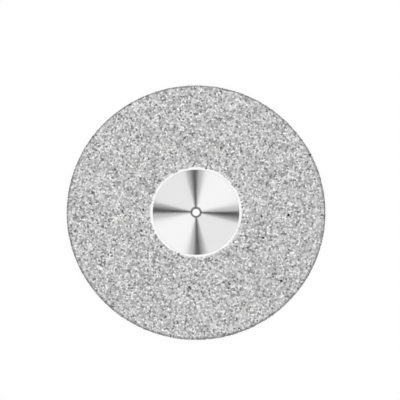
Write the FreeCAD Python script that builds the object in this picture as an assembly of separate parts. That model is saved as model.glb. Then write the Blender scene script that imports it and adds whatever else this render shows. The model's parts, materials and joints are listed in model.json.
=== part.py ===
import FreeCAD
import Part

import os

# A thin diamond cutting disc for a screw mandrel, in millimetres.
# It lies flat: its axis is Z, and the origin is the centre of its bore, midway between its two faces.
# Both sides are the same. A blank stamped from sheet steel carries one plated layer of nickel and
# diamond grit, which covers both faces from the hub outwards and wraps round the rim. The hub is bare.

# Sizes of the whole disc
DISC_DIAMETER = 45.0       # over the diamond points at the rim
HUB_DIAMETER = 15.0        # bare metal, where the mandrel's flange and washer press

# Sizes of the steel blank
BLANK_THICKNESS = 0.30
BORE_DIAMETER = 1.25       # clears an M1.2 mandrel screw
COUNTERSINK_DIAMETER = 2.00
COUNTERSINK_DEPTH = 0.10   # on both sides, which leaves a third of the thickness as straight wall

# Sizes of the plated layer
LAYER_THICKNESS = 0.20     # over the diamond points, on each face and at the rim
RUN_OUT_WIDTH = 0.42       # slope of bare nickel between the hub and the grit
RUN_OUT_LIP = 0.04         # thickness left where that slope ends, at the hub

# Places worked out from the sizes
disc_radius = DISC_DIAMETER / 2
blank_radius = disc_radius - LAYER_THICKNESS
hub_radius = HUB_DIAMETER / 2
grit_radius = hub_radius + RUN_OUT_WIDTH
bore_radius = BORE_DIAMETER / 2
countersink_radius = COUNTERSINK_DIAMETER / 2
blank_top = BLANK_THICKNESS / 2
layer_top = blank_top + LAYER_THICKNESS
lip_top = blank_top + RUN_OUT_LIP

# The layer's rim is a half round over the disc's whole thickness, so both faces end where it starts.
nose_radius = layer_top
face_radius = disc_radius - nose_radius


def section_point(point):
    """A point of the half section, which lies in the XZ plane, from its (radius, height)."""
    radius, height = point
    return FreeCAD.Vector(radius, 0, height)


def lines(points):
    """The straight edges through a row of points."""
    pairs = zip(points, points[1:])
    return [Part.LineSegment(section_point(a), section_point(b)).toShape() for a, b in pairs]


def arc(start, middle, end):
    """The round edge through three points."""
    return Part.Arc(section_point(start), section_point(middle), section_point(end)).toShape()


def underside(points):
    """The same row of points below the middle plane, in the opposite order."""
    return [(radius, -height) for radius, height in reversed(points)]


def turned(edges):
    """A solid of revolution about Z from the edges of a closed half section."""
    section = Part.Face(Part.Wire(Part.sortEdges(edges)[0]))
    return section.revolve(FreeCAD.Vector(0, 0, 0), FreeCAD.Vector(0, 0, 1), 360)


def make_steel_blank():
    """The stamped disc, square at its rim, with its bore countersunk on both sides.

    Its faces are split at the edge of the hub, so that the clamped part is a face of its own.
    """
    top = [
        (bore_radius, blank_top - COUNTERSINK_DEPTH),
        (countersink_radius, blank_top),
        (hub_radius, blank_top),
        (blank_radius, blank_top),
    ]
    outline = [*top, *underside(top), top[0]]
    return turned(lines(outline))


def make_diamond_layer():
    """The plated layer, a C in section that holds the blank from the hub's edge out round its rim.

    At the hub it thins down a short slope that holds no grit, and ends in a low square lip.
    """
    seat = [
        (blank_radius, blank_top),
        (hub_radius, blank_top),
    ]
    skin = [
        (hub_radius, lip_top),
        (grit_radius, layer_top),
        (face_radius, layer_top),
    ]
    top = [*seat, *skin]
    blank_rim = [underside(seat)[-1], seat[0]]
    nose = arc((face_radius, layer_top), (face_radius + nose_radius, 0), (face_radius, -layer_top))
    return turned([*lines(top), nose, *lines(underside(top)), *lines(blank_rim)])


def main():
    os.makedirs("parts", exist_ok=True)
    pieces = {
        "steel_blank": make_steel_blank(),
        "diamond_layer": make_diamond_layer(),
    }
    for name, solid in pieces.items():
        solid.exportStep(f"parts/{name}.step")
        print(f"{name}: {solid.ShapeType}, valid {solid.isValid()}, {solid.Volume:.2f} mm3")


main()
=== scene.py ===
"""Looks of a thin diamond cutting disc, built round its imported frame. All lengths are in metres."""

import json
import math

import bmesh
import bpy
import numpy as np
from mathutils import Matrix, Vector

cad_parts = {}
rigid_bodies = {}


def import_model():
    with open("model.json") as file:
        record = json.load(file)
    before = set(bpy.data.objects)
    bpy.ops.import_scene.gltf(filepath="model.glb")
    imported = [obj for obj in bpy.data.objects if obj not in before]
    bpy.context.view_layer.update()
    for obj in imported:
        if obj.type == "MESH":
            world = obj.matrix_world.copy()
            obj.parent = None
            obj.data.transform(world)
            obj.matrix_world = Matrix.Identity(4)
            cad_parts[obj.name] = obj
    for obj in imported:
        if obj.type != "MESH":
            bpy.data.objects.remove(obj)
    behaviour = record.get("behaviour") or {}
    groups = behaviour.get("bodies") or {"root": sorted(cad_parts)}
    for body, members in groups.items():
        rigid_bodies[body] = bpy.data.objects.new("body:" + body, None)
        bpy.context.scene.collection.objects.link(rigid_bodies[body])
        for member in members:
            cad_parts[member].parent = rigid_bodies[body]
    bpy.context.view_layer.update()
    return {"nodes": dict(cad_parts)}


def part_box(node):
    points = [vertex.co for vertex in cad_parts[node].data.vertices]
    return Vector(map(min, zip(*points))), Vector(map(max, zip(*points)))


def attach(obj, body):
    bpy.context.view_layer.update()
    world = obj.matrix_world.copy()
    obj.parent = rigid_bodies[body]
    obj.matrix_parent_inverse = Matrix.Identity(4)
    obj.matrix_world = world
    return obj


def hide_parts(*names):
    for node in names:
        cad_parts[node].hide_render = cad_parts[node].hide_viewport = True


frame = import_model()

MILLIMETRE = 0.001
HAIR = 0.001 * MILLIMETRE  # points that lie this close to a height or a radius are on it
ROOT = "root"              # the one body of a part that has no joints
MAP_NAME = "OFBake"        # the name of the map that a piece brings of its own

# Where the disc's outline lies in the 400 x 400 photograph, in pixels from its top left corner
PHOTO_SIDE = 400
OUTLINE_CENTRE_X = 196.06
OUTLINE_CENTRE_Y = 212.41
OUTLINE_HALF_WIDTH = 129.73
OUTLINE_HALF_HEIGHT = 127.51

# The nickel
NICKEL_SHARE = 0.42        # how deep the nickel is, as a share of the layer over the diamond points
RING_PITCH = 0.25 * MILLIMETRE  # from one ring of its mesh to the next
RINGS_ROUND_NOSE = 10
TURN_STEPS = 540
NEAR_SURFACE = 0.95        # of its height: a face's middle lies a little inside the round nose
GRIT_START = 0.12 * MILLIMETRE  # from the run-out's top to the first grains' middles

# The diamond crystals
GRIT_SEED = 7
CRYSTAL_SHAPES = 5
CRYSTAL_SKEW = 0.22        # how far a corner strays, against a crystal that reaches 1 each way
LEAST_CRYSTAL_STRETCH = 0.8
GRAIN_SIZE = 0.64 * MILLIMETRE
SMALLEST_GRAIN = 0.78      # of that size
GRAIN_SPACING = 0.26 * MILLIMETRE
GRAIN_TRIES = 10.0         # points tried in each square of that side, before those too close are dropped
GRAIN_FLATNESS = 0.52      # the grains lie on their flat sides
GRAIN_TILT = 0.33          # radians, at most
TILT_ALLOWANCE = 0.03      # off the tilted grains' height, as few tilt that far with a corner up
LEAST_SUNK = 0.004 * MILLIMETRE
MOST_SUNK = 0.030 * MILLIMETRE
# What each kind of random draw adds to the seed, so that no two kinds go together
SIZE_DRAW = 1.0
DEPTH_DRAW = 2.0
TURN_DRAW = 3.0
TONE_DRAW = 5.0
METALLIC_SHARE = 0.007     # of the grains, dark with metal
METALLIC_GRAIN_GROWTH = 1.5     # over the other grains' size
CELL_MARGIN = 0.02         # free edge of a grain's cell on the map
JUST_BELOW_ZERO = -1e-9

# The finishes. A pair is the darkest and the palest shade, or the least and the most.
NOISE_SPAN = (0.3, 0.7)    # the part of a noise that is spread over such a pair
STEEL_GREY = 0.675
STEEL_RING_CONTRAST = 0.06
STEEL_RING_WIDTH = 0.1 * MILLIMETRE
STEEL_ROUGHNESS = (0.13, 0.16)
STEEL_MOTTLE = 2.0 * MILLIMETRE         # the grain size of the mottling, here and below
GLINT_TURN = 0.25          # of a full turn, from the tangent that runs round the bore
GROOVE_PITCH = 0.11 * MILLIMETRE
GROOVE_SLOPE = 0.42
GROOVE_DRIFT = 12.0        # radians that the grooves stray from an even pitch, at most
GROOVE_DRIFT_SIZE = 0.4 * MILLIMETRE    # over this much of the radius
# Painted shade: the countersink's dark base colour round the bore
PAINTED_COUNTERSINK_SHADES = (0.28, 0.38)
COUNTERSINK_MOTTLE = 0.15 * MILLIMETRE
COUNTERSINK_ROUGHENING = 0.35
COUNTERSINK_BLUR = 0.01 * MILLIMETRE    # on each side of its edge
CLEAN_NICKEL_SHADES = (0.90, 0.96)
CLEAN_NICKEL_MOTTLE = 0.3 * MILLIMETRE
# Grit dust and painted shade between the grains: the nickel's darker shades past the run-out
GRITTY_NICKEL_SHADES = (0.15, 0.80)
GRITTY_NICKEL_MOTTLE = 0.12 * MILLIMETRE
GRITTY_INSIDE = 0.05 * MILLIMETRE       # how far round the run-out's top clean nickel turns gritty
GRITTY_OUTSIDE = 0.2 * MILLIMETRE
NICKEL_ROUGHNESS = (0.42, 0.52)
NICKEL_BUMP = 0.01 * MILLIMETRE
NICKEL_BUMP_SIZE = 0.08 * MILLIMETRE
NICKEL_BUMP_STRENGTH = 0.5
HUB_EDGE_SHADE_WIDTH = 0.12 * MILLIMETRE     # painted shade along the nickel's edge at the hub's step
HUB_EDGE_PAINTED_SHADE = 0.78
# Shades of the grains that hold no metal, against the share of all grains that are darker
GRAIN_SHADES = (
    (0.0, 0.0),
    (METALLIC_SHARE, 0.01),
    (0.060, 0.045),
    (0.082, 0.145),
    (0.500, 0.525),
    (0.945, 0.81),
    (0.972, 0.94),
    (1.0, 1.0),
)
METALLIC_GRAIN_SHADES = (0.01, 0.22)
GRAIN_CLOUDING = (0.9, 1.1)
GRAIN_CLOUD_SIZE = 0.1 * MILLIMETRE
GRAIN_ROUGHNESS = (0.35, 0.50)
GRAIN_ROUGHNESS_SIZE = 0.05 * MILLIMETRE
DIAMOND_IOR = 2.417
# Painted shade round the rim's nose, in patches
PAINTED_RIM_SHADES = (0.15, 0.53)
RIM_PATCH_SIZE = 0.6 * MILLIMETRE
RIM_SHADE_INSIDE = 0.17 * MILLIMETRE     # from where the painted shade starts on the face to the face's edge
RIM_SHADE_OUTSIDE = 0.15 * MILLIMETRE    # from that edge to where it is full, on the nose

# The studio
FLOOR_GREY = 0.98
FLOOR_ROUGHNESS = 0.9
FLOOR_GLOW = 0.90          # how much of the floor's white is light of its own, to the camera
FLOOR_SIDE = 8.0
LENS = 1000                # millimetres, as Blender gives lenses
NEAREST_SEEN = 0.1
FARTHEST_SEEN = 20
HORIZON_LIGHT = 0.20       # of the full light, at the horizon
FULL_LIGHT_HEIGHT = 0.45   # sine of the elevation from which the panels are at full light
PANEL_LIGHT = 1.72
GROUND_LIGHT = 1.0         # from below the horizon, all round

# Light of the panels against the angle round the disc, over half a turn: the other half is the same.
# Between them lie narrow dark gaps, each with a sharp and a soft edge. Both ends lie inside a gap.
PANEL_STOPS = (
    (0, 0.0),
    (1, 0.35),
    (4, 0.58),
    (8, 0.60),
    (13, 0.92),
    (19, 1.0),
    (71, 1.0),
    (77, 0.90),
    (81, 0.58),
    (86, 0.48),
    (90, 0.05),
    (94, 0.05),
    (98, 0.35),
    (102, 0.50),
    (107, 0.88),
    (112, 0.87),
    (164, 0.87),
    (168, 0.44),
    (172, 0.30),
    (175, 0.04),
    (180, 0.0),
)


def node_points(name):
    """(radius, height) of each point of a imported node, as two arrays."""
    points = np.array([vertex.co for vertex in frame["nodes"][name].data.vertices])
    return np.hypot(points[:, 0], points[:, 1]), points[:, 2]


# Sizes read from the frame
_, layer_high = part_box("diamond_layer")
_, blank_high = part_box("steel_blank")
disc_radius = layer_high.x
layer_top = layer_high.z
blank_top = blank_high.z
blank_radius = blank_high.x
face_radius = disc_radius - layer_top
layer_radii, layer_heights = node_points("diamond_layer")
hub_radius = layer_radii.min()
grit_radius = layer_radii[layer_heights > layer_top - HAIR].min()
lip_top = layer_heights[layer_radii < hub_radius + HAIR].max()
bond_top = blank_top + NICKEL_SHARE * (layer_top - blank_top)
blank_radii, blank_heights = node_points("steel_blank")
countersink_radius = blank_radii[blank_heights > blank_top - HAIR].min()

# The camera looks down on the disc from a little in front, which is what squashes its outline.
pixel = disc_radius / OUTLINE_HALF_WIDTH
lean = math.acos((OUTLINE_HALF_HEIGHT * pixel - layer_top) / face_radius)


def add(tree, kind, inputs=None, **settings):
    """A new node in a tree. inputs maps a socket's name or number to a value or to another socket."""
    made = tree.nodes.new(kind)
    for name, value in settings.items():
        setattr(made, name, value)
    for key, value in (inputs or {}).items():
        if isinstance(value, bpy.types.NodeSocket):
            tree.links.new(value, made.inputs[key])
        else:
            made.inputs[key].default_value = value
    return made


def maths(tree, operation, *values):
    """The result of one Math node, as a socket. Shader and geometry trees both have it."""
    return add(tree, "ShaderNodeMath", dict(enumerate(values)), operation=operation).outputs[0]


def spread(tree, value, from_low, from_high, to_low, to_high):
    """A value carried over from one range to another, and held within it, as a socket."""
    inputs = {
        "Value": value,
        "From Min": from_low,
        "From Max": from_high,
        "To Min": to_low,
        "To Max": to_high,
    }
    return add(tree, "ShaderNodeMapRange", inputs).outputs["Result"]


def blend(tree, share, first, second):
    """first where share is 0 and second where it is 1, as a socket."""
    return add(tree, "ShaderNodeMix", {0: share, 2: first, 3: second}, data_type="FLOAT").outputs[0]


def ramp(tree, value, stops):
    """A value that follows a row of (place, height) stops, as a socket.

    The first stop is at 0 and the last is at 1.
    """
    made = add(tree, "ShaderNodeValToRGB", {0: value})
    elements = made.color_ramp.elements
    (_, first_height), *inner, (_, last_height) = stops
    elements[0].color = (first_height, first_height, first_height, 1)
    elements[1].color = (last_height, last_height, last_height, 1)
    for place, height in inner:
        elements.new(place).color = (height, height, height, 1)
    return made.outputs["Color"]


def new_group(name, kind, inputs, outputs):
    """A node group with named sockets, each given as name: socket type, and nothing between them.

    It comes with the sockets that give its inputs and those that want its outputs.
    """
    group = bpy.data.node_groups.new(name, kind)
    for label, socket in inputs.items():
        group.interface.new_socket(label, in_out="INPUT", socket_type=socket)
    for label, socket in outputs.items():
        group.interface.new_socket(label, in_out="OUTPUT", socket_type=socket)
    given = group.nodes.new("NodeGroupInput").outputs
    wanted = group.nodes.new("NodeGroupOutput").inputs
    return group, given, wanted


# Shared effects of the materials


def speckle_group():
    """Mottling of a surface: a noise of the given grain size, spread over Low to High."""
    group, given, wanted = new_group(
        "Speckle",
        "ShaderNodeTree",
        {"Size": "NodeSocketFloat", "Low": "NodeSocketFloat", "High": "NodeSocketFloat"},
        {"Value": "NodeSocketFloat"},
    )
    place = add(group, "ShaderNodeTexCoord").outputs["Object"]
    scale = maths(group, "DIVIDE", 1.0, given["Size"])
    cloud = add(group, "ShaderNodeTexNoise", {"Vector": place, "Scale": scale, "Detail": 3.0})
    mottled = spread(group, cloud.outputs["Fac"], *NOISE_SPAN, given["Low"], given["High"])
    group.links.new(mottled, wanted["Value"])
    return group


def ring_group():
    """A value that goes from Inner to Outer between two radii about the disc's axis."""
    group, given, wanted = new_group(
        "Ring",
        "ShaderNodeTree",
        {
            "From Radius": "NodeSocketFloat",
            "To Radius": "NodeSocketFloat",
            "Inner": "NodeSocketFloat",
            "Outer": "NodeSocketFloat",
        },
        {"Value": "NodeSocketFloat"},
    )
    radii = (given["From Radius"], given["To Radius"])
    stepped = spread(group, radius_about_axis(group), *radii, given["Inner"], given["Outer"])
    group.links.new(stepped, wanted["Value"])
    return group


def painted_rim_shade_group():
    """Painted shade at the rim, darker round the nose: patches from Darkest to Palest beyond a radius.
    """
    group, given, wanted = new_group(
        "Painted Rim Shade",
        "ShaderNodeTree",
        {
            "From Radius": "NodeSocketFloat",
            "To Radius": "NodeSocketFloat",
            "Patch Size": "NodeSocketFloat",
            "Darkest": "NodeSocketFloat",
            "Palest": "NodeSocketFloat",
        },
        {"Value": "NodeSocketFloat"},
    )
    # Painted shade: 0 on the faces, 1 round the nose
    in_rim_shade = use(
        group,
        "Ring",
        from_radius=given["From Radius"],
        to_radius=given["To Radius"],
        inner=0.0,
        outer=1.0,
    )
    patches = speckle(group, given["Patch Size"], given["Darkest"], given["Palest"])
    group.links.new(blend(group, in_rim_shade, 1.0, patches), wanted["Value"])
    return group


def outward(tree):
    """The part of Object coordinates that lies across the disc's axis."""
    place = add(tree, "ShaderNodeTexCoord").outputs["Object"]
    return add(tree, "ShaderNodeVectorMath", {0: place, 1: (1, 1, 0)}, operation="MULTIPLY").outputs[0]


def radius_about_axis(tree):
    """How far a point of the surface is from the disc's axis."""
    return add(tree, "ShaderNodeVectorMath", {0: outward(tree)}, operation="LENGTH").outputs["Value"]


def use(tree, group_name, **values):
    """One use of a shared group, as its output socket. from_radius=... sets the input From Radius."""
    inputs = {name.replace("_", " ").title(): value for name, value in values.items()}
    group = bpy.data.node_groups[group_name]
    return add(tree, "ShaderNodeGroup", inputs, node_tree=group).outputs["Value"]


def speckle(tree, size, low, high):
    """Mottling from the Speckle group."""
    return use(tree, "Speckle", size=size, low=low, high=high)


def painted_rim_shade(tree):
    """The painted shade round the rim: 1 on the faces, uneven and darker round the nose."""
    darkest, palest = PAINTED_RIM_SHADES
    return use(
        tree,
        "Painted Rim Shade",
        from_radius=face_radius - RIM_SHADE_INSIDE,
        to_radius=face_radius + RIM_SHADE_OUTSIDE,
        patch_size=RIM_PATCH_SIZE,
        darkest=darkest,
        palest=palest,
    )


# The materials


def new_material(name):
    """A material that holds only a Principled shader and its output."""
    material = bpy.data.materials.new(name)
    material.use_nodes = True
    tree = material.node_tree
    tree.nodes.clear()
    shader = add(tree, "ShaderNodeBsdfPrincipled")
    add(tree, "ShaderNodeOutputMaterial", {"Surface": shader.outputs[0]})
    return material, tree, shader


def grey(tree, value):
    """A neutral colour from one value."""
    return add(tree, "ShaderNodeCombineColor", {0: value, 1: value, 2: value}).outputs[0]


def grooved_normal(tree, radius):
    """The surface's normal, tipped in and out along the radius by fine turned grooves."""
    drift = add(
        tree,
        "ShaderNodeTexNoise",
        {"W": radius, "Scale": 1 / GROOVE_DRIFT_SIZE, "Detail": 1.0},
        noise_dimensions="1D",
    )
    turns = maths(tree, "MULTIPLY", radius, math.tau / GROOVE_PITCH)
    phase = maths(tree, "MULTIPLY_ADD", drift.outputs["Fac"], GROOVE_DRIFT, turns)
    tip = maths(tree, "MULTIPLY", maths(tree, "SINE", phase), GROOVE_SLOPE)
    unit = add(tree, "ShaderNodeVectorMath", {0: outward(tree)}, operation="NORMALIZE").outputs[0]
    tipped = add(tree, "ShaderNodeVectorMath", {0: unit, "Scale": tip}, operation="SCALE").outputs[0]
    plain = add(tree, "ShaderNodeNewGeometry").outputs["Normal"]
    both = add(tree, "ShaderNodeVectorMath", {0: plain, 1: tipped}, operation="ADD").outputs[0]
    return add(tree, "ShaderNodeVectorMath", {0: both}, operation="NORMALIZE").outputs[0]


def turned_steel():
    """Bright sheet steel, turned so that fine rings about its bore draw the light into wedges.

    The countersink is left dull, as it was stamped, and carries painted shade: a dark base colour round
    the bore.
    """
    material, tree, shader = new_material("turned_steel")
    radius = radius_about_axis(tree)
    rings = add(
        tree,
        "ShaderNodeTexNoise",
        {"W": radius, "Scale": 1 / STEEL_RING_WIDTH, "Detail": 2.0},
        noise_dimensions="1D",
    )
    darkest = STEEL_GREY - STEEL_RING_CONTRAST / 2
    bright = maths(tree, "MULTIPLY_ADD", rings.outputs["Fac"], STEEL_RING_CONTRAST, darkest)
    turned = use(
        tree,
        "Ring",
        from_radius=countersink_radius - COUNTERSINK_BLUR,
        to_radius=countersink_radius + COUNTERSINK_BLUR,
        inner=0.0,
        outer=1.0,
    )
    # Painted shade on the countersink: its base colour is dark
    dark = speckle(tree, COUNTERSINK_MOTTLE, *PAINTED_COUNTERSINK_SHADES)
    tree.links.new(grey(tree, blend(tree, turned, dark, bright)), shader.inputs["Base Color"])
    smooth = speckle(tree, STEEL_MOTTLE, *STEEL_ROUGHNESS)
    rougher = maths(tree, "MULTIPLY_ADD", turned, -COUNTERSINK_ROUGHENING, COUNTERSINK_ROUGHENING)
    tree.links.new(maths(tree, "ADD", smooth, rougher), shader.inputs["Roughness"])
    tree.links.new(grooved_normal(tree, radius), shader.inputs["Normal"])
    shader.inputs["Metallic"].default_value = 1.0
    shader.inputs["Anisotropic"].default_value = 1.0
    shader.inputs["Anisotropic Rotation"].default_value = GLINT_TURN
    tangent = add(tree, "ShaderNodeTangent", direction_type="RADIAL", axis="Z")
    tree.links.new(tangent.outputs[0], shader.inputs["Tangent"])
    return material


def plated_nickel():
    """The nickel that holds the grit: satin white metal, clean on the run-out and darker past it, with
    grit dust and painted shade between the grains.
    """
    material, tree, shader = new_material("plated_nickel")
    # Painted shade: the nickel is darker along its edge at the hub's step
    painted_hub_edge_shade = use(
        tree,
        "Ring",
        from_radius=hub_radius,
        to_radius=hub_radius + HUB_EDGE_SHADE_WIDTH,
        inner=HUB_EDGE_PAINTED_SHADE,
        outer=1.0,
    )
    bright = speckle(tree, CLEAN_NICKEL_MOTTLE, *CLEAN_NICKEL_SHADES)
    clean = maths(tree, "MULTIPLY", painted_hub_edge_shade, bright)
    # Grit dust and painted shade: the nickel between the grains is darker
    dirt_and_shade = speckle(tree, GRITTY_NICKEL_MOTTLE, *GRITTY_NICKEL_SHADES)
    gritty = use(
        tree,
        "Ring",
        from_radius=grit_radius - GRITTY_INSIDE,
        to_radius=grit_radius + GRITTY_OUTSIDE,
        inner=0.0,
        outer=1.0,
    )
    # Painted shade round the rim darkens the nickel there
    shade = maths(tree, "MULTIPLY", blend(tree, gritty, clean, dirt_and_shade), painted_rim_shade(tree))
    tree.links.new(grey(tree, shade), shader.inputs["Base Color"])
    roughness = speckle(tree, GRITTY_NICKEL_MOTTLE, *NICKEL_ROUGHNESS)
    tree.links.new(roughness, shader.inputs["Roughness"])
    height = speckle(tree, NICKEL_BUMP_SIZE, 0, 1)
    inputs = {"Strength": NICKEL_BUMP_STRENGTH, "Distance": NICKEL_BUMP, "Height": height}
    bump = add(tree, "ShaderNodeBump", inputs)
    tree.links.new(bump.outputs[0], shader.inputs["Normal"])
    shader.inputs["Metallic"].default_value = 1.0
    return material


def diamond():
    """The diamond crystals: hard glossy grey grains, each with its own shade.

    A rare one is dark with metal that it took in as it grew, so it has a metal's dark gloss.
    """
    material, tree, shader = new_material("diamond_crystal")
    tone = add(tree, "ShaderNodeAttribute", attribute_name="grain_tone").outputs["Fac"]
    shade = ramp(tree, tone, GRAIN_SHADES)
    clouded = maths(tree, "MULTIPLY", shade, speckle(tree, GRAIN_CLOUD_SIZE, *GRAIN_CLOUDING))
    # Painted shade round the rim darkens the grains there too
    clear = maths(tree, "MULTIPLY", maths(tree, "MINIMUM", clouded, 1.0), painted_rim_shade(tree))
    metallic = maths(tree, "LESS_THAN", tone, METALLIC_SHARE)
    dark = spread(tree, tone, 0.0, METALLIC_SHARE, *METALLIC_GRAIN_SHADES)
    tree.links.new(grey(tree, blend(tree, metallic, clear, dark)), shader.inputs["Base Color"])
    tree.links.new(metallic, shader.inputs["Metallic"])
    roughness = speckle(tree, GRAIN_ROUGHNESS_SIZE, *GRAIN_ROUGHNESS)
    tree.links.new(roughness, shader.inputs["Roughness"])
    shader.inputs["IOR"].default_value = DIAMOND_IOR
    return material


def studio_floor():
    """A white sheet that keeps a soft share of the disc's shadow."""
    material, tree, shader = new_material("studio_floor")
    shader.inputs["Base Color"].default_value = (FLOOR_GREY, FLOOR_GREY, FLOOR_GREY, 1)
    shader.inputs["Roughness"].default_value = FLOOR_ROUGHNESS
    shader.inputs["Specular IOR Level"].default_value = 0.0
    rays = add(tree, "ShaderNodeLightPath").outputs
    seen = maths(tree, "MAXIMUM", rays["Is Camera Ray"], rays["Is Glossy Ray"])
    seen = maths(tree, "MAXIMUM", seen, rays["Is Transmission Ray"])
    white = add(tree, "ShaderNodeEmission", {"Color": (1, 1, 1, 1), "Strength": 1.0})
    mix = add(
        tree,
        "ShaderNodeMixShader",
        {0: maths(tree, "MULTIPLY", seen, FLOOR_GLOW), 1: shader.outputs[0], 2: white.outputs[0]},
    )
    tree.links.new(mix.outputs[0], tree.nodes["Material Output"].inputs["Surface"])
    return material


# The pieces


def mesh_object(name, mesh, material):
    """A piece of the disc, at the origin, that rides with the disc's one body."""
    piece = bpy.data.objects.new(name, mesh)
    bpy.context.scene.collection.objects.link(piece)
    mesh.materials.clear()
    mesh.materials.append(material)
    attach(piece, ROOT)
    return piece


def run(start, end, pitch):
    """Points from start up to, but without, end, evenly spaced at about the pitch."""
    start, end = np.array(start), np.array(end)
    count = max(1, round(np.linalg.norm(end - start) / pitch))
    return [tuple(start + (end - start) * step / count) for step in range(count)]


def bond_section():
    """The nickel's closed half section as (radius, height) points.

    It runs from the hub's edge out over the top, round the nose and back below, and ends inside the rim.
    """
    slope = [
        (hub_radius, blank_top),
        (hub_radius, lip_top),
        (grit_radius, bond_top),
        (face_radius, bond_top),
    ]
    top = []
    for start, end in zip(slope, slope[1:]):
        top += run(start, end, RING_PITCH)
    nose = []
    for step in range(RINGS_ROUND_NOSE + 1):
        angle = math.pi / 2 - math.pi * step / RINGS_ROUND_NOSE
        nose.append((face_radius + bond_top * math.cos(angle), bond_top * math.sin(angle)))
    below = [(radius, -height) for radius, height in reversed(top)]
    blank_rim = [(blank_radius, -blank_top), (blank_radius, blank_top)]
    return [*top, *nose, *below, *blank_rim]


def turned_mesh(name, section, steps):
    """A closed mesh of revolution about Z from a closed half section."""
    section = np.array(section)
    angles = np.arange(steps) * 2 * math.pi / steps
    rings = np.empty((steps, len(section), 3))
    rings[:, :, 0] = np.cos(angles)[:, None] * section[:, 0]
    rings[:, :, 1] = np.sin(angles)[:, None] * section[:, 0]
    rings[:, :, 2] = section[:, 1]
    turn, place = np.meshgrid(np.arange(steps), np.arange(len(section)), indexing="ij")
    next_turn, next_place = (turn + 1) % steps, (place + 1) % len(section)
    corners = [(turn, place), (next_turn, place), (next_turn, next_place), (turn, next_place)]
    faces = np.stack([a * len(section) + b for a, b in corners], -1).reshape(-1, 4)
    mesh = bpy.data.meshes.new(name)
    mesh.from_pydata(rings.reshape(-1, 3).tolist(), [], faces.tolist())
    shape = bmesh.new()
    shape.from_mesh(mesh)
    bmesh.ops.recalc_face_normals(shape, faces=shape.faces)
    shape.to_mesh(mesh)
    shape.free()
    unroll(mesh, section, steps)
    return mesh


def unroll(mesh, section, steps):
    """A map for a turned mesh: the angle runs along it, and the way round the section runs up it."""
    places = len(section)
    lengths = np.linalg.norm(np.roll(section, -1, axis=0) - section, axis=1)
    share = np.append(0.0, np.cumsum(lengths)) / lengths.sum()
    corner_points = np.empty(len(mesh.loops), dtype=int)
    mesh.loops.foreach_get("vertex_index", corner_points)
    corner_faces = np.repeat(np.arange(len(mesh.polygons)), 4)
    turn, place = np.divmod(corner_points, places)
    face_turn, face_place = np.divmod(corner_faces, places)
    turn = np.where(turn == face_turn, turn, face_turn + 1)
    place = np.where(place == face_place, place, face_place + 1)
    spots = np.column_stack([turn / steps, share[place]])
    mesh.uv_layers.new(name=MAP_NAME).data.foreach_set("uv", spots.ravel())


def mark_grit_faces(mesh):
    """Marks the faces that hold grit: those beyond the run-out that face away from the blank."""
    marks = mesh.attributes.new("carries_grit", "BOOLEAN", "FACE")
    for face, mark in zip(mesh.polygons, marks.data):
        radius = face.center.xy.length
        from_nose_centre = math.hypot(max(radius - face_radius, 0.0), face.center.z)
        past_run_out = radius > grit_radius + GRIT_START
        mark.value = bool(past_run_out and from_nose_centre > NEAR_SURFACE * bond_top)


def make_bond(material):
    """The nickel skin that the crystals sit in."""
    mesh = turned_mesh("nickel_bond", bond_section(), TURN_STEPS)
    mark_grit_faces(mesh)
    return mesh_object("nickel_bond", mesh, material)


def crystal(index):
    """One blocky crystal of unit reach.

    It is a cube whose corners are cut back to the middles of its edges, a little askew and flattened.
    """
    random = np.random.default_rng(index)
    points = []
    for axis in range(3):
        for first in (-1, 1):
            for second in (-1, 1):
                point = np.roll((0.0, first, second), axis)
                points.append(point + random.uniform(-CRYSTAL_SKEW, CRYSTAL_SKEW, 3))
    points = np.array(points) * random.uniform(LEAST_CRYSTAL_STRETCH, 1.0, 3)
    points /= np.linalg.norm(points, axis=1).max()
    points[:, 2] *= GRAIN_FLATNESS
    shape = bmesh.new()
    for point in points:
        shape.verts.new(point)
    bmesh.ops.convex_hull(shape, input=shape.verts)
    mesh = bpy.data.meshes.new(f"crystal_{index}")
    shape.to_mesh(mesh)
    shape.free()
    unfold(mesh)
    return bpy.data.objects.new(f"crystal_{index}", mesh)


def unfold(mesh):
    """Lays out a crystal's faces in a unit square.

    Those that face up lie in its left half, and the rest in its right.
    """
    spots = mesh.attributes.new("spot_in_cell", "FLOAT_VECTOR", "CORNER")
    width, height = 0.5 - 2 * CELL_MARGIN, 1 - 2 * CELL_MARGIN
    for side, left in ((1, CELL_MARGIN), (-1, 0.5 + CELL_MARGIN)):
        faces = [face for face in mesh.polygons if face.normal.z * side > 0]
        corners = [corner for face in faces for corner in face.loop_indices]
        ways = []
        for corner in corners:
            point = mesh.vertices[mesh.loops[corner].vertex_index].co.copy()
            point.z *= side / GRAIN_FLATNESS
            ways.append(point.normalized())
        angles = [math.acos(way.z) for way in ways]
        for corner, way, angle in zip(corners, ways, angles):
            reach = 0.5 * angle / max(angles)
            spot = way.xy.normalized() * reach + Vector((0.5, 0.5))
            spots.data[corner].vector = (left + width * spot.x, CELL_MARGIN + height * spot.y, 0)


def chance(tree, kind, low, high, seed):
    """A value drawn anew for each point, between low and high, as a socket."""
    inputs = {"Min": low, "Max": high, "Seed": seed}
    return add(tree, "FunctionNodeRandomValue", inputs, data_type=kind).outputs["Value"]


def store(tree, geometry, name, value, kind, domain):
    """The geometry with a value kept on it under a name, as a socket."""
    inputs = {"Geometry": geometry, "Name": name, "Value": value}
    settings = {"data_type": kind, "domain": domain}
    return add(tree, "GeometryNodeStoreNamedAttribute", inputs, **settings).outputs[0]


def stored(tree, name, kind):
    """The value that a geometry keeps under a name, as a socket."""
    made = add(tree, "GeometryNodeInputNamedAttribute", {"Name": name}, data_type=kind)
    return made.outputs["Attribute"]


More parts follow.
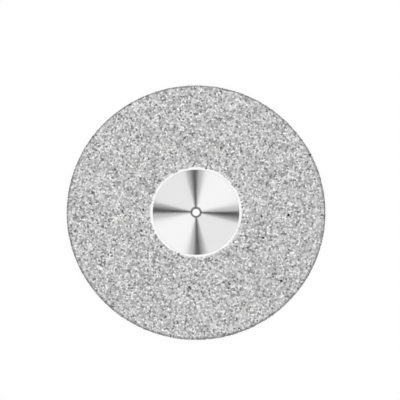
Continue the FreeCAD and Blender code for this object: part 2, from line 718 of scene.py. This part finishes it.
def in_region(tree, given):
    """1 at a point between the two radii and on the given side, and 0 elsewhere, as a socket."""
    place = add(tree, "GeometryNodeInputPosition").outputs[0]
    x, y, z = add(tree, "ShaderNodeSeparateXYZ", {0: place}).outputs
    radius = maths(tree, "SQRT", maths(tree, "MULTIPLY_ADD", x, x, maths(tree, "MULTIPLY", y, y)))
    far_enough = maths(tree, "GREATER_THAN", radius, given["From Radius"])
    near_enough = maths(tree, "LESS_THAN", radius, given["To Radius"])
    # Side is 1 above and -1 below. A side of 0 takes both, as 0 is more than just below zero.
    sided_height = maths(tree, "MULTIPLY", z, given["Side"])
    right_side = maths(tree, "GREATER_THAN", sided_height, JUST_BELOW_ZERO)
    return maths(tree, "MULTIPLY", maths(tree, "MULTIPLY", far_enough, near_enough), right_side)


def grain_reach(tree, given, metallic):
    """Half the size of each grain: drawn for most, and large for those dark with metal, as a socket."""
    seed = maths(tree, "ADD", given["Seed"], SIZE_DRAW)
    drawn = chance(tree, "FLOAT", SMALLEST_GRAIN, 1.0, seed)
    grown = maths(tree, "MULTIPLY", metallic, given["Metallic Growth"])
    half_size = maths(tree, "MULTIPLY", given["Grain Size"], 0.5)
    return maths(tree, "MULTIPLY", half_size, maths(tree, "MAXIMUM", drawn, grown))


def grain_lift(tree, given, reach, metallic):
    """How far each grain's middle is from the nickel, as a socket.

    Its highest corner reaches about the top of the layer. Most are sunk a little deeper, by chance.
    """
    seed = maths(tree, "ADD", given["Seed"], DEPTH_DRAW)
    depth = chance(tree, "FLOAT", LEAST_SUNK, MOST_SUNK, seed)
    sunk_by = maths(tree, "MULTIPLY", depth, maths(tree, "SUBTRACT", 1.0, metallic))
    half_height = maths(tree, "MULTIPLY", reach, given["Half Height"])
    highest = maths(tree, "SUBTRACT", given["Stand Out"], half_height)
    return maths(tree, "SUBTRACT", highest, sunk_by)


def grain_turn(tree, given, face_turn):
    """Each grain laid on its face, turned to any side and tipped a little, as a socket."""
    seed = maths(tree, "ADD", given["Seed"], TURN_DRAW)
    drawn = chance(tree, "FLOAT_VECTOR", (-1, -1, -math.pi), (1, 1, math.pi), seed)
    most = add(tree, "ShaderNodeCombineXYZ", {"X": given["Tilt"], "Y": given["Tilt"], "Z": 1.0})
    turn = add(tree, "ShaderNodeVectorMath", {0: drawn, 1: most.outputs[0]}, operation="MULTIPLY")
    inputs = {"Rotation": face_turn, "Rotate By": turn.outputs[0]}
    made = add(tree, "FunctionNodeRotateRotation", inputs, rotation_space="LOCAL")
    return made.outputs["Rotation"]


def mapped_grains(tree, grains):
    """The grains made real, each with a cell of its own in the rows and columns of the piece's map."""
    count = add(tree, "GeometryNodeAttributeDomainSize", {0: grains}, component="INSTANCES")
    cells = maths(tree, "CEIL", maths(tree, "SQRT", count.outputs["Instance Count"]))
    index = add(tree, "GeometryNodeInputIndex").outputs[0]
    row = maths(tree, "FLOOR", maths(tree, "DIVIDE", index, cells))
    column = maths(tree, "SUBTRACT", index, maths(tree, "MULTIPLY", row, cells))
    corner = add(tree, "ShaderNodeCombineXYZ", {"X": column, "Y": row}).outputs[0]
    celled = store(tree, grains, "cell", corner, "FLOAT_VECTOR", "INSTANCE")
    real = add(tree, "GeometryNodeRealizeInstances", {"Geometry": celled}).outputs[0]
    cell = stored(tree, "cell", "FLOAT_VECTOR")
    spot = stored(tree, "spot_in_cell", "FLOAT_VECTOR")
    place = add(tree, "ShaderNodeVectorMath", {0: cell, 1: spot}, operation="ADD").outputs[0]
    inputs = {0: place, "Scale": maths(tree, "DIVIDE", 1.0, cells)}
    shrunk = add(tree, "ShaderNodeVectorMath", inputs, operation="SCALE").outputs[0]
    return store(tree, real, MAP_NAME, shrunk, "FLOAT2", "CORNER")


def grit_tree(crystals):
    """Scatters crystals over the faces that carry grit, and keeps those of one region of the disc."""
    tree, given, wanted = new_group(
        "Diamond grit",
        "GeometryNodeTree",
        {
            "Geometry": "NodeSocketGeometry",
            "Grain Size": "NodeSocketFloat",
            "Spacing": "NodeSocketFloat",
            "Stand Out": "NodeSocketFloat",
            "Half Height": "NodeSocketFloat",
            "Tilt": "NodeSocketFloat",
            "From Radius": "NodeSocketFloat",
            "To Radius": "NodeSocketFloat",
            "Side": "NodeSocketFloat",
            "Metallic Share": "NodeSocketFloat",
            "Metallic Growth": "NodeSocketFloat",
            "Seed": "NodeSocketInt",
            "Material": "NodeSocketMaterial",
        },
        {"Geometry": "NodeSocketGeometry"},
    )
    square = maths(tree, "MULTIPLY", given["Spacing"], given["Spacing"])
    points = add(
        tree,
        "GeometryNodeDistributePointsOnFaces",
        {
            "Mesh": given["Geometry"],
            "Selection": stored(tree, "carries_grit", "BOOLEAN"),
            "Distance Min": given["Spacing"],
            "Density Max": maths(tree, "DIVIDE", GRAIN_TRIES, square),
            "Seed": given["Seed"],
        },
        distribute_method="POISSON",
    ).outputs
    inputs = {"Geometry": points["Points"], "Selection": in_region(tree, given)}
    region = add(tree, "GeometryNodeSeparateGeometry", inputs).outputs["Selection"]

    tone = chance(tree, "FLOAT", 0.0, 1.0, maths(tree, "ADD", given["Seed"], TONE_DRAW))
    metallic = maths(tree, "LESS_THAN", tone, given["Metallic Share"])
    reach = grain_reach(tree, given, metallic)
    toned = store(tree, region, "grain_tone", tone, "FLOAT", "POINT")
    inputs = {0: points["Normal"], "Scale": grain_lift(tree, given, reach, metallic)}
    offset = add(tree, "ShaderNodeVectorMath", inputs, operation="SCALE").outputs[0]
    lifted = add(tree, "GeometryNodeSetPosition", {"Geometry": toned, "Offset": offset}).outputs[0]

    shapes = add(
        tree,
        "GeometryNodeCollectionInfo",
        {"Collection": crystals, "Separate Children": True, "Reset Children": True},
    )
    grains = add(
        tree,
        "GeometryNodeInstanceOnPoints",
        {
            "Points": lifted,
            "Instance": shapes.outputs[0],
            "Pick Instance": True,
            "Instance Index": chance(tree, "INT", 0, CRYSTAL_SHAPES - 1, 0),
            "Rotation": grain_turn(tree, given, points["Rotation"]),
            "Scale": reach,
        },
    ).outputs[0]
    inputs = {"Geometry": mapped_grains(tree, grains), "Material": given["Material"]}
    coated = add(tree, "GeometryNodeSetMaterial", inputs).outputs[0]
    tree.links.new(coated, wanted["Geometry"])
    return tree


def grit_piece(name, tree, bond, material, from_radius, to_radius, side):
    """The crystals of one region of the disc, as a plain mesh."""
    carrier = bpy.data.objects.new("carrier", bond.data)
    bpy.context.scene.collection.objects.link(carrier)
    modifier = carrier.modifiers.new("grit", "NODES")
    modifier.node_group = tree
    values = {
        "Grain Size": GRAIN_SIZE,
        "Spacing": GRAIN_SPACING,
        "Stand Out": layer_top - bond_top,
        "Half Height": math.hypot(GRAIN_FLATNESS, math.sin(GRAIN_TILT)) - TILT_ALLOWANCE,
        "Tilt": GRAIN_TILT,
        "From Radius": from_radius,
        "To Radius": to_radius,
        "Side": side,
        "Metallic Share": METALLIC_SHARE,
        "Metallic Growth": METALLIC_GRAIN_GROWTH,
        "Seed": GRIT_SEED,
        "Material": material,
    }
    for item in tree.interface.items_tree:
        if item.in_out == "INPUT" and item.name in values:
            modifier[item.identifier] = values[item.name]
    graph = bpy.context.evaluated_depsgraph_get()
    mesh = bpy.data.meshes.new_from_object(carrier.evaluated_get(graph))
    mesh.name = name
    bpy.data.objects.remove(carrier)
    for used_up in ("carries_grit", "cell", "spot_in_cell", "id"):
        mesh.attributes.remove(mesh.attributes[used_up])
    dress(mesh)
    return mesh_object(name, mesh, material)


def dress(mesh):
    """Brings any point that stands past the layer's surface down to it, as dressing the disc does."""
    for vertex in mesh.vertices:
        point = vertex.co
        radius = point.xy.length
        past_face = max(radius - face_radius, 0.0)
        from_nose_centre = math.hypot(past_face, point.z)
        if from_nose_centre > layer_top:
            share = layer_top / from_nose_centre
            dressed_radius = radius - past_face + past_face * share
            point.xy *= dressed_radius / radius
            point.z *= share


def make_grit(bond, material):
    """The crystals on both faces, in an inner and an outer ring of equal area, and round the rim."""
    crystals = bpy.data.collections.new("crystals")
    for index in range(CRYSTAL_SHAPES):
        crystals.objects.link(crystal(index))
    tree = grit_tree(crystals)
    middle = math.sqrt((grit_radius**2 + face_radius**2) / 2)
    grit_piece("grit_top_inner", tree, bond, material, 0.0, middle, 1.0)
    grit_piece("grit_top_outer", tree, bond, material, middle, face_radius, 1.0)
    grit_piece("grit_underside_inner", tree, bond, material, 0.0, middle, -1.0)
    grit_piece("grit_underside_outer", tree, bond, material, middle, face_radius, -1.0)
    past_all = 2 * disc_radius
    grit_piece("grit_rim", tree, bond, material, face_radius, past_all, 0.0)
    bpy.data.node_groups.remove(tree)
    for shape in list(crystals.objects):
        bpy.data.objects.remove(shape)
    bpy.data.collections.remove(crystals)


# The surroundings


def make_surroundings():
    """Four soft panels on the diagonals with dark gaps between them, over a dim horizon."""
    world = bpy.data.worlds.new("studio")
    bpy.context.scene.world = world
    world.use_nodes = True
    tree = world.node_tree
    tree.nodes.clear()
    way = add(tree, "ShaderNodeTexCoord").outputs["Generated"]
    xyz = add(tree, "ShaderNodeSeparateXYZ", {0: way}).outputs
    forward = maths(tree, "SUBTRACT", xyz["Y"], math.sin(lean))
    angle = maths(tree, "ARCTAN2", forward, xyz["X"])
    half_turn = maths(tree, "FRACT", maths(tree, "DIVIDE", angle, math.pi))
    panels = ramp(tree, half_turn, [(degrees / 180, light) for degrees, light in PANEL_STOPS])
    height = spread(tree, xyz["Z"], 0.0, FULL_LIGHT_HEIGHT, HORIZON_LIGHT, 1.0)
    light = maths(tree, "MULTIPLY", panels, height)
    above = maths(tree, "MULTIPLY", light, PANEL_LIGHT)
    below = maths(tree, "LESS_THAN", xyz["Z"], 0.0)
    back = add(tree, "ShaderNodeBackground", {"Strength": blend(tree, below, above, GROUND_LIGHT)})
    add(tree, "ShaderNodeOutputWorld", {"Surface": back.outputs[0]})


def make_floor():
    """The sheet that the disc lies on."""
    bpy.ops.mesh.primitive_plane_add(size=FLOOR_SIDE, location=(0, 0, -layer_top))
    floor = bpy.context.object
    floor.name = "floor"
    floor.data.materials.append(studio_floor())


def make_camera():
    """A far camera with a long lens, so that the outline stays an even ellipse."""
    data = bpy.data.cameras.new("camera")
    data.lens = LENS
    data.clip_start = NEAREST_SEEN
    data.clip_end = FARTHEST_SEEN
    camera = bpy.data.objects.new("camera", data)
    bpy.context.scene.collection.objects.link(camera)
    bpy.context.scene.camera = camera
    back = Vector((0, -math.sin(lean), math.cos(lean)))
    up = Vector((0, math.cos(lean), math.sin(lean)))
    right = Vector((1, 0, 0))
    middle = PHOTO_SIDE / 2
    aim = right * (middle - OUTLINE_CENTRE_X) * pixel + up * (OUTLINE_CENTRE_Y - middle) * pixel
    distance = PHOTO_SIDE * pixel * data.lens / data.sensor_width
    camera.location = aim + back * distance
    camera.rotation_euler = (lean, 0, 0)
    bpy.context.scene.view_settings.view_transform = "Standard"


def main():
    """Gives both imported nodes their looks, and sets up the studio."""
    speckle_group()
    ring_group()
    painted_rim_shade_group()
    blank = frame["nodes"]["steel_blank"]
    blank.material_slots[0].material = turned_steel()
    bond = make_bond(plated_nickel())
    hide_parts("diamond_layer")
    make_grit(bond, diamond())
    make_floor()
    make_surroundings()
    make_camera()


main()
